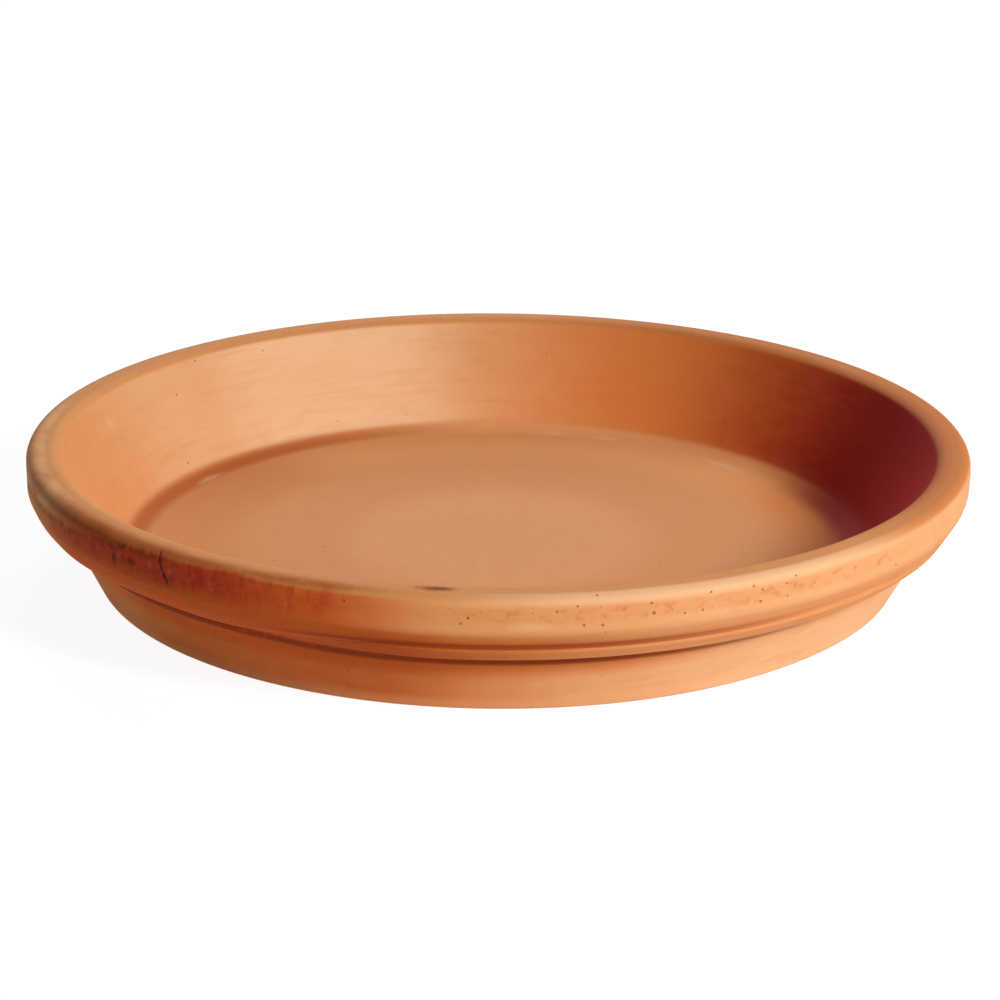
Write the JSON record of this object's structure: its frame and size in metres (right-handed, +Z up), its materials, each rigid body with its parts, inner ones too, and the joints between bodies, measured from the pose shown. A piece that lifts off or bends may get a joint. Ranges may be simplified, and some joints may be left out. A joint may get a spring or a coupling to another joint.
{
  "type": "plant saucer",
  "caption": "Round terracotta saucer with a flared wall, a thick rolled rim above a narrow bead, and a flat floor that a plant pot stands on.",
  "frame": {"origin": "centre of the underside, in the plane that the foot ring stands on", "axes": "+Z up along the axis that the saucer was turned about; +X and +Y are alike, because the saucer is round"},
  "size_m": [0.27, 0.27, 0.038],
  "materials": {
    "terracotta": "matte"
  },
  "bodies": {
    "root": {"saucer": "terracotta"}
  },
  "joints": []
}
